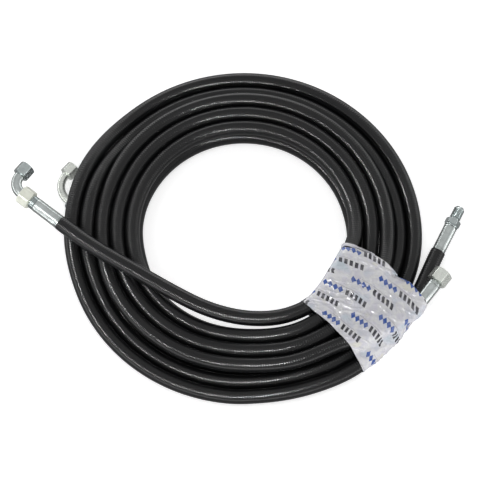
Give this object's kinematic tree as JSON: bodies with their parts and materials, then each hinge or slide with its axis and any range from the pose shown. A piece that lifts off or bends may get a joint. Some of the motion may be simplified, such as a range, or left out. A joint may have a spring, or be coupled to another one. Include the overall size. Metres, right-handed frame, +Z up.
{
  "type": "hydraulic hose assembly",
  "caption": "Coiled pair of rubber hydraulic hoses with crimped steel end fittings, two bent-tube elbows, swivel nuts and a film wrap round the coil.",
  "frame": {"origin": "centre of the object's box, on the surface that the coil lies on", "axes": "+Z up out of the coil's plane; +X across the coil from the elbow ends to the straight ends; +Y away from the side where the hose crosses the coil"},
  "size_m": [0.5614, 0.443, 0.0609],
  "materials": {
    "zinc_plated_steel": "bright zinc plate, satin",
    "braid_wire": "brassed steel wire braid",
    "inner_tube": "smooth nitrile rubber",
    "hose_cover": "semi-gloss black cover with fine cross ribbing",
    "film": "glossy printed polythene film"
  },
  "bodies": {
    "hoses": {"ferrule_a": "zinc_plated_steel", "ferrule_b": "zinc_plated_steel", "ferrule_c": "zinc_plated_steel", "ferrule_d": "zinc_plated_steel", "stem_a": "zinc_plated_steel", "stem_b": "zinc_plated_steel", "stem_c": "zinc_plated_steel", "stem_d": "zinc_plated_steel", "hex_a": "zinc_plated_steel", "elbow_a": "zinc_plated_steel", "elbow_b": "zinc_plated_steel", "nose_a": "zinc_plated_steel", "nose_b": "zinc_plated_steel", "braid_a": "braid_wire", "braid_b": "braid_wire", "braid_c": "braid_wire", "braid_d": "braid_wire", "liner_a": "inner_tube", "liner_b": "inner_tube", "liner_c": "inner_tube", "liner_d": "inner_tube", "coil": "hose_cover", "hose_a": "hose_cover", "hose_c": "hose_cover", "hose_d": "hose_cover", "film_wrap": "film"},
    "nut_a_body": {"nut_a": "zinc_plated_steel"},
    "nut_b_body": {"nut_b": "zinc_plated_steel"},
    "nut_d_body": {"nut_d": "zinc_plated_steel"}
  },
  "joints": [
    {"name": "swivel_a", "type": "hinge", "parent": "hoses", "child": "nut_a_body", "pos_m": [-0.26987, 0.06814, 0.0482], "axis": [0.6293, 0.7771, 0], "continuous": true},
    {"name": "swivel_b", "type": "hinge", "parent": "hoses", "child": "nut_b_body", "pos_m": [-0.21394, 0.08503, 0.0106], "axis": [0.682, 0.7314, 0], "continuous": true},
    {"name": "swivel_d", "type": "hinge", "parent": "hoses", "child": "nut_d_body", "pos_m": [0.24487, -0.0648, 0.031], "axis": [0.606, 0.7955, 0], "continuous": true}
  ]
}
